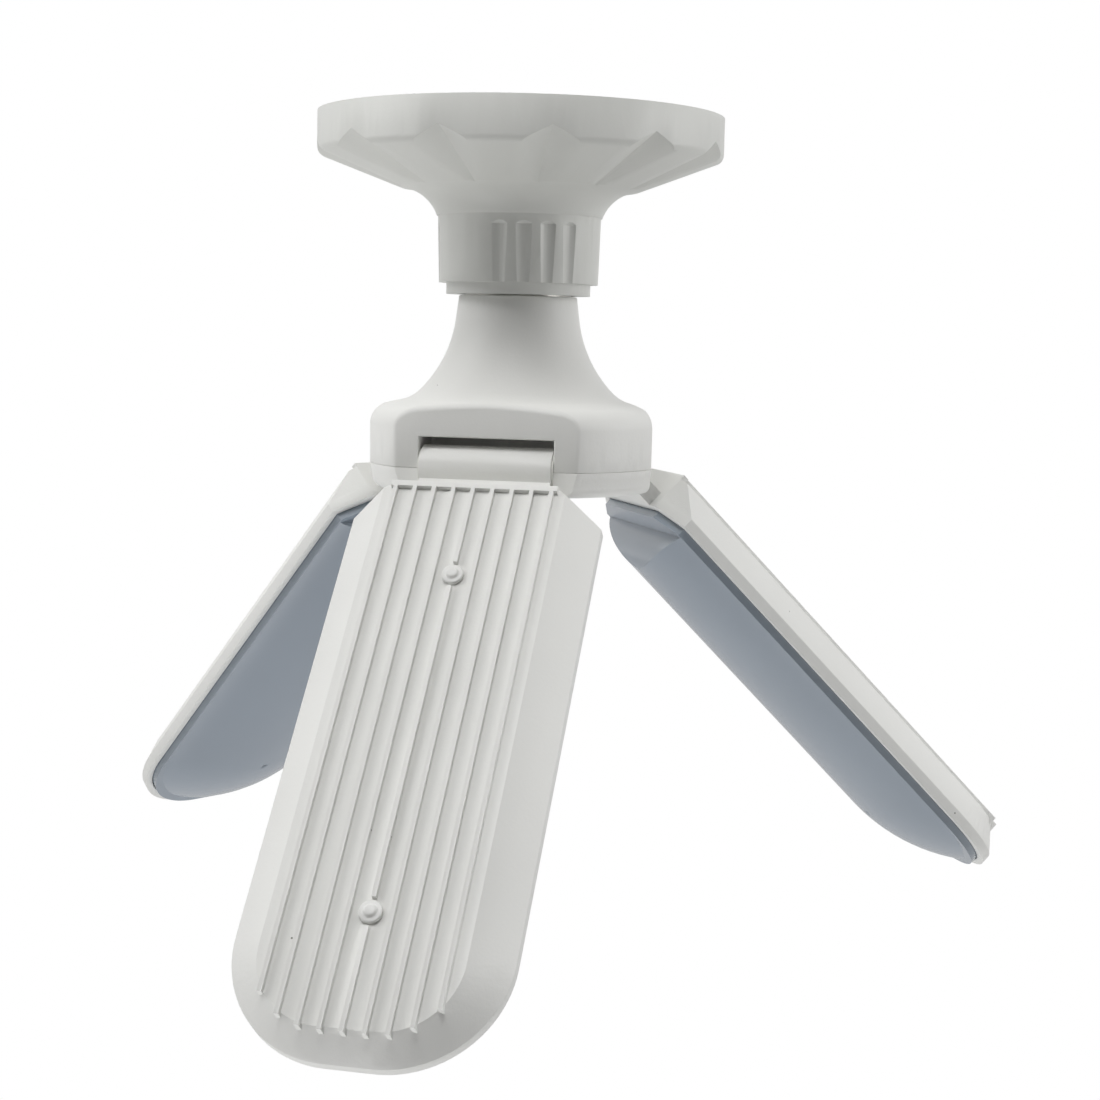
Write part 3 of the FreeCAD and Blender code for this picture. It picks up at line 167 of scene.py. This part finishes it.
def make_grain_group():
    """Fine moulded surface: a small height and a change of tone and gloss."""
    group = bpy.data.node_groups.new("moulded_grain", "ShaderNodeTree")
    face = group.interface
    sockets = (("Vector", "NodeSocketVector"), ("Fineness", "NodeSocketFloat"), ("Tone", "NodeSocketColor"),
               ("Gloss", "NodeSocketFloat"), ("Speck Amount", "NodeSocketFloat"))
    for name, kind in sockets:
        face.new_socket(name=name, in_out="INPUT", socket_type=kind)
    for name, kind in (("Colour", "NodeSocketColor"), ("Roughness", "NodeSocketFloat"), ("Height", "NodeSocketFloat")):
        face.new_socket(name=name, in_out="OUTPUT", socket_type=kind)
    nodes = group.nodes
    enter = nodes.new("NodeGroupInput")
    leave = nodes.new("NodeGroupOutput")
    fine = nodes.new("ShaderNodeTexNoise")
    fine.inputs["Detail"].default_value = 3.0
    broad = nodes.new("ShaderNodeTexNoise")
    broad.inputs["Scale"].default_value = 22.0
    broad.inputs["Detail"].default_value = 2.0
    tone_range = nodes.new("ShaderNodeMapRange")
    tone_range.inputs["From Min"].default_value = 0.3
    tone_range.inputs["From Max"].default_value = 0.7
    tone_range.inputs["To Min"].default_value = 0.965
    tone_range.inputs["To Max"].default_value = 1.02
    tinted = nodes.new("ShaderNodeVectorMath")
    tinted.operation = "SCALE"
    spots = nodes.new("ShaderNodeTexVoronoi")
    spots.inputs["Scale"].default_value = 190.0
    small = nodes.new("ShaderNodeMath")
    small.operation = "LESS_THAN"
    small.inputs[1].default_value = 0.042
    chance = nodes.new("ShaderNodeSeparateColor")
    few = nodes.new("ShaderNodeMath")
    few.operation = "LESS_THAN"
    both = nodes.new("ShaderNodeMath")
    both.operation = "MULTIPLY"
    marked = nodes.new("ShaderNodeMix")
    marked.data_type = "RGBA"
    marked.inputs["B"].default_value = (0.16, 0.15, 0.13, 1.0)
    gloss = nodes.new("ShaderNodeMath")
    gloss.operation = "MULTIPLY_ADD"
    gloss.inputs[1].default_value = 0.10
    link = group.links.new
    link(enter.outputs["Vector"], fine.inputs["Vector"])
    link(enter.outputs["Vector"], broad.inputs["Vector"])
    link(enter.outputs["Vector"], spots.inputs["Vector"])
    link(enter.outputs["Fineness"], fine.inputs["Scale"])
    link(broad.outputs["Fac"], tone_range.inputs["Value"])
    link(enter.outputs["Tone"], tinted.inputs[0])
    link(tone_range.outputs["Result"], tinted.inputs["Scale"])
    link(spots.outputs["Distance"], small.inputs[0])
    link(spots.outputs["Color"], chance.inputs["Color"])
    link(chance.outputs["Red"], few.inputs[0])
    link(enter.outputs["Speck Amount"], few.inputs[1])
    link(small.outputs["Value"], both.inputs[0])
    link(few.outputs["Value"], both.inputs[1])
    link(both.outputs["Value"], marked.inputs["Factor"])
    link(tinted.outputs["Vector"], marked.inputs["A"])
    link(fine.outputs["Fac"], gloss.inputs[0])
    link(enter.outputs["Gloss"], gloss.inputs[2])
    link(marked.outputs["Result"], leave.inputs["Colour"])
    link(gloss.outputs["Value"], leave.inputs["Roughness"])
    link(fine.outputs["Fac"], leave.inputs["Height"])
    return group


moulded_grain = make_grain_group()


def moulded_plastic(name, colour, gloss, bump, specks=0.0, coat=0.0):
    """Injection-moulded plastic with fine grain, faint cloudiness and a few dark specks."""
    finish = bpy.data.materials.new(name)
    finish.use_nodes = True
    tree = finish.node_tree
    shader = tree.nodes["Principled BSDF"]
    place = tree.nodes.new("ShaderNodeTexCoord")
    grain = tree.nodes.new("ShaderNodeGroup")
    grain.node_tree = moulded_grain
    grain.inputs["Fineness"].default_value = GRAIN_PITCH
    grain.inputs["Tone"].default_value = (*colour, 1.0)
    grain.inputs["Gloss"].default_value = gloss - 0.05
    grain.inputs["Speck Amount"].default_value = specks
    relief = tree.nodes.new("ShaderNodeBump")
    relief.inputs["Strength"].default_value = bump
    relief.inputs["Distance"].default_value = 0.00008
    tree.links.new(place.outputs["Object"], grain.inputs["Vector"])
    tree.links.new(grain.outputs["Colour"], shader.inputs["Base Color"])
    tree.links.new(grain.outputs["Roughness"], shader.inputs["Roughness"])
    tree.links.new(grain.outputs["Height"], relief.inputs["Height"])
    tree.links.new(relief.outputs["Normal"], shader.inputs["Normal"])
    shader.inputs["Specular IOR Level"].default_value = 0.45
    shader.inputs["Coat Weight"].default_value = coat
    shader.inputs["Coat Roughness"].default_value = 0.12
    return finish


def finish_node(node, finish):
    """Give a CAD node its material."""
    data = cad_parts[node].data
    data.materials.clear()
    data.materials.append(finish)


base_plastic = moulded_plastic("base_plastic", BASE_COLOUR, 0.62, 0.5)
finish_node("ceiling_base", base_plastic)


# Holder cover: one white moulding in slightly glossy plastic, with a plain rim, gabled
# scoops round the cone and a fluted collar. Its edges are softly rounded by the mould.
# The holder's white is set darker than the lamp's white: this darkening is painted shade for the holder's front faces.
HOLDER_SHADED_COLOUR = (0.70, 0.705, 0.675)
COVER_EDGE = 0.00035
SLEEVE_EDGE = 0.0003
MERGE_REACH = 0.000002
FLAT_ANGLE = math.radians(0.6)


def softened(node, width, finish, sharp=32.0, segments=2):
    """A copy of a CAD node with its edges rounded, standing for that node."""
    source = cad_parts[node]
    mesh = source.data.copy()
    mesh.name = node + "_soft"
    shape = bmesh.new()
    shape.from_mesh(mesh)
    bmesh.ops.remove_doubles(shape, verts=shape.verts, dist=MERGE_REACH)
    bmesh.ops.dissolve_limit(shape, angle_limit=FLAT_ANGLE, verts=shape.verts, edges=shape.edges)
    for face in shape.faces:
        face.smooth = True
    shape.to_mesh(mesh)
    shape.free()
    piece = bpy.data.objects.new(node + "_soft", mesh)
    bpy.context.scene.collection.objects.link(piece)
    mesh.materials.clear()
    mesh.materials.append(finish)
    edges = piece.modifiers.new("edges", "BEVEL")
    edges.width = width
    edges.segments = segments
    edges.limit_method = "ANGLE"
    edges.angle_limit = math.radians(sharp)
    edges.use_clamp_overlap = True
    edges.harden_normals = True
    bpy.context.view_layer.update()
    baked = bpy.data.meshes.new_from_object(piece.evaluated_get(bpy.context.evaluated_depsgraph_get()))
    piece.modifiers.clear()
    piece.data = baked
    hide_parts(node)
    return piece


holder_plastic = moulded_plastic("holder_plastic", HOLDER_SHADED_COLOUR, 0.42, 0.25)
cover = softened("holder_cover", COVER_EDGE, holder_plastic)
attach(cover, "holder")


# Socket sleeve: the same white plastic as the cover, turned in one piece. Only its
# lower ring shows, between the collar and the lamp's neck.
# The sleeve shares the cover's darkened white, which is painted shade.
sleeve = softened("socket_sleeve", SLEEVE_EDGE, holder_plastic)
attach(sleeve, "holder")


# Metal parts of the lampholder: nickelled sheet for the screw shell, brass for the
# contact strip and terminals, plated steel for the screws and posts.
def plated_metal(name, colour, gloss):
    """Bare or plated metal with fine drawn marks and small changes of gloss."""
    finish = bpy.data.materials.new(name)
    finish.use_nodes = True
    tree = finish.node_tree
    shader = tree.nodes["Principled BSDF"]
    shader.inputs["Metallic"].default_value = 1.0
    place = tree.nodes.new("ShaderNodeTexCoord")
    grain = tree.nodes.new("ShaderNodeGroup")
    grain.node_tree = moulded_grain
    grain.inputs["Fineness"].default_value = 900.0
    grain.inputs["Tone"].default_value = (*colour, 1.0)
    grain.inputs["Gloss"].default_value = gloss
    grain.inputs["Speck Amount"].default_value = 0.0
    relief = tree.nodes.new("ShaderNodeBump")
    relief.inputs["Strength"].default_value = 0.2
    relief.inputs["Distance"].default_value = 0.00005
    tree.links.new(place.outputs["Object"], grain.inputs["Vector"])
    tree.links.new(grain.outputs["Colour"], shader.inputs["Base Color"])
    tree.links.new(grain.outputs["Roughness"], shader.inputs["Roughness"])
    tree.links.new(grain.outputs["Height"], relief.inputs["Height"])
    tree.links.new(relief.outputs["Normal"], shader.inputs["Normal"])
    return finish


nickel_sheet = plated_metal("nickel_sheet", (0.72, 0.70, 0.66), 0.25)
contact_brass = plated_metal("contact_brass", (0.75, 0.58, 0.28), 0.28)
plated_steel = plated_metal("plated_steel", (0.62, 0.62, 0.61), 0.30)
finish_node("thread_shell", nickel_sheet)
finish_node("centre_contact", contact_brass)
finish_node("terminals", contact_brass)
finish_node("terminal_screws", plated_steel)
finish_node("core_posts", plated_steel)


# Screw threads: the rolled ridge on the lamp's nickelled cap and the one inside the
# holder's shell. Both follow the standard 27 mm screw's lead, so they stay in mesh.
THREAD_LEAD = 0.003629
CAP_THREAD_RADIUS = 0.01300
SHELL_THREAD_RADIUS = 0.01400
THREAD_WIRE = 0.00035
SHELL_THREAD_WIRE = THREAD_WIRE * 0.8
CAP_THREADED_SHARE = 0.78
SHELL_THREADED_SHARE = 0.9
CAP_THREAD_FOOT = 0.002
SHELL_THREAD_FOOT = 0.001


def make_thread_tree():
    """A ridge that follows a right-hand screw line up a cylinder."""
    tree = bpy.data.node_groups.new("screw_ridge", "GeometryNodeTree")
    face = tree.interface
    face.new_socket(name="Geometry", in_out="OUTPUT", socket_type="NodeSocketGeometry")
    for name, kind in (("Turns", "NodeSocketFloat"), ("Radius", "NodeSocketFloat"), ("Rise", "NodeSocketFloat"),
                       ("Ridge", "NodeSocketFloat"), ("Foot", "NodeSocketFloat"), ("Finish", "NodeSocketMaterial")):
        face.new_socket(name=name, in_out="INPUT", socket_type=kind)
    enter = tree.nodes.new("NodeGroupInput")
    leave = tree.nodes.new("NodeGroupOutput")
    line = tree.nodes.new("GeometryNodeCurveSpiral")
    line.inputs["Resolution"].default_value = 64
    section = tree.nodes.new("GeometryNodeCurvePrimitiveCircle")
    section.inputs["Resolution"].default_value = 10
    sweep = tree.nodes.new("GeometryNodeCurveToMesh")
    sweep.inputs["Fill Caps"].default_value = True
    lift = tree.nodes.new("ShaderNodeCombineXYZ")
    move = tree.nodes.new("GeometryNodeTransform")
    plain = tree.nodes.new("GeometryNodeRealizeInstances")
    paint = tree.nodes.new("GeometryNodeSetMaterial")
    link = tree.links.new
    link(enter.outputs["Turns"], line.inputs["Rotations"])
    link(enter.outputs["Radius"], line.inputs["Start Radius"])
    link(enter.outputs["Radius"], line.inputs["End Radius"])
    link(enter.outputs["Rise"], line.inputs["Height"])
    link(enter.outputs["Ridge"], section.inputs["Radius"])
    link(line.outputs["Curve"], sweep.inputs["Curve"])
    link(section.outputs["Curve"], sweep.inputs["Profile Curve"])
    link(enter.outputs["Foot"], lift.inputs["Z"])
    link(sweep.outputs["Mesh"], move.inputs["Geometry"])
    link(lift.outputs["Vector"], move.inputs["Translation"])
    link(move.outputs["Geometry"], plain.inputs["Geometry"])
    link(plain.outputs["Geometry"], paint.inputs["Geometry"])
    link(enter.outputs["Finish"], paint.inputs["Material"])
    link(paint.outputs["Geometry"], leave.inputs["Geometry"])
    return tree


def plain_piece(name, tree, values):
    """Run a tree with its named inputs and keep the result as a plain mesh."""
    piece = bpy.data.objects.new(name, bpy.data.meshes.new(name))
    bpy.context.scene.collection.objects.link(piece)
    maker = piece.modifiers.new("maker", "NODES")
    maker.node_group = tree
    for item in tree.interface.items_tree:
        if item.item_type == "SOCKET" and item.in_out == "INPUT" and item.name in values:
            maker[item.identifier] = values[item.name]
    bpy.context.view_layer.update()
    baked = bpy.data.meshes.new_from_object(piece.evaluated_get(bpy.context.evaluated_depsgraph_get()))
    piece.modifiers.clear()
    piece.data = baked
    return piece


screw_ridge = make_thread_tree()
cap_low, cap_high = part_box("cap_shell")
cap_rise = (cap_high[2] - cap_low[2]) * CAP_THREADED_SHARE
cap_thread = plain_piece("cap_thread", screw_ridge, {
    "Turns": cap_rise / THREAD_LEAD, "Radius": CAP_THREAD_RADIUS, "Rise": cap_rise,
    "Ridge": THREAD_WIRE, "Foot": cap_low[2] + CAP_THREAD_FOOT, "Finish": nickel_sheet})
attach(cap_thread, "lamp")
shell_low, shell_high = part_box("thread_shell")
shell_rise = (shell_high[2] - shell_low[2]) * SHELL_THREADED_SHARE
shell_thread = plain_piece("shell_thread", screw_ridge, {
    "Turns": shell_rise / THREAD_LEAD, "Radius": SHELL_THREAD_RADIUS, "Rise": shell_rise,
    "Ridge": SHELL_THREAD_WIRE, "Foot": shell_low[2] + SHELL_THREAD_FOOT, "Finish": nickel_sheet})
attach(shell_thread, "holder")


# Lamp cap: a nickelled sheet shell crimped on the neck's spigot, a black glass
# insulator and a soldered brass contact at its end.
finish_node("cap_shell", nickel_sheet)
insulator_black = moulded_plastic("insulator_black", (0.03, 0.03, 0.032), 0.18, 0.1)
finish_node("cap_insulator", insulator_black)
finish_node("cap_contact", contact_brass)


# Neck and hub: the lamp's upper moulding and the cover below the seam, both in a warm
# white plastic with a fine satin surface. The seam stays visible as a thin line.
LAMP_COLOUR = (0.82, 0.82, 0.795)
HUB_EDGE = 0.0003

lamp_plastic = moulded_plastic("lamp_plastic", LAMP_COLOUR, 0.48, 0.35, specks=0.05)
neck = softened("neck_housing", HUB_EDGE, lamp_plastic)
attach(neck, "lamp")
hub = softened("hub_cover", HUB_EDGE, lamp_plastic)
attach(hub, "lamp")


# Inside the hub: a green circuit board with its black parts, hollow steel hinge
# bushes, nylon washers, and three plated screws that close the hub from below.
circuit_board = moulded_plastic("circuit_board", (0.06, 0.20, 0.10), 0.40, 0.3)
component_black = moulded_plastic("component_black", (0.035, 0.035, 0.04), 0.38, 0.3)
washer_nylon = moulded_plastic("washer_nylon", (0.78, 0.78, 0.74), 0.50, 0.2)
finish_node("driver_board", circuit_board)
finish_node("driver_parts", component_black)
finish_node("hinge_bushes", plated_steel)
finish_node("friction_washers", washer_nylon)
finish_node("hub_screws", plated_steel)


# Leaf housings: thin ribbed backs in the lamp's warm white, with bevelled sides, a lip
# at the hinge and the barrel that turns in the hub. Small dark specks show on them.
LEAF_EDGE = 0.00025
LEAVES = ("leaf_1", "leaf_2", "leaf_3")

leaf_plastic = moulded_plastic("leaf_plastic", LAMP_COLOUR, 0.46, 0.45, specks=0.22)
for leaf in LEAVES:
    shell = softened(leaf + "_housing", LEAF_EDGE, leaf_plastic)
    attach(shell, leaf)


# Rivets: white-painted domed pins through each leaf, which hold the light board up.
RIVET_EDGE = 0.0003

rivet_paint = moulded_plastic("rivet_paint", (0.80, 0.80, 0.78), 0.40, 0.2)
for leaf in LEAVES:
    pins = softened(leaf + "_rivets", RIVET_EDGE, rivet_paint)
    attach(pins, leaf)


# Light boards: white-coated metal boards with rows of small yellow lights, sealed
# behind the diffusers.
board_white_coat = moulded_plastic("led_board_coat", (0.84, 0.84, 0.83), 0.35, 0.2)
light_yellow = moulded_plastic("light_phosphor", (0.85, 0.66, 0.16), 0.30, 0.2)
for leaf in LEAVES:
    finish_node(leaf + "_led_board", board_white_coat)
    finish_node(leaf + "_leds", light_yellow)


# Diffusers: glossy domed white opal covers under the leaves, clipped into the lip.
# Their colour is painted shade: the white opal is darkened to a dull blue-grey, as it looks in the shade under the
# leaves.
SHADED_OPAL_COLOUR = (0.31, 0.355, 0.41)

# The diffuser material's dark blue-grey base colour is painted shade, not the opal's own white.
shaded_opal = moulded_plastic("opal_diffuser", SHADED_OPAL_COLOUR, 0.22, 0.02, coat=0.5)
for leaf in LEAVES:
    finish_node(leaf + "_diffuser", shaded_opal)
    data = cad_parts[leaf + "_diffuser"].data
    data.polygons.foreach_set("use_smooth", [True] * len(data.polygons))
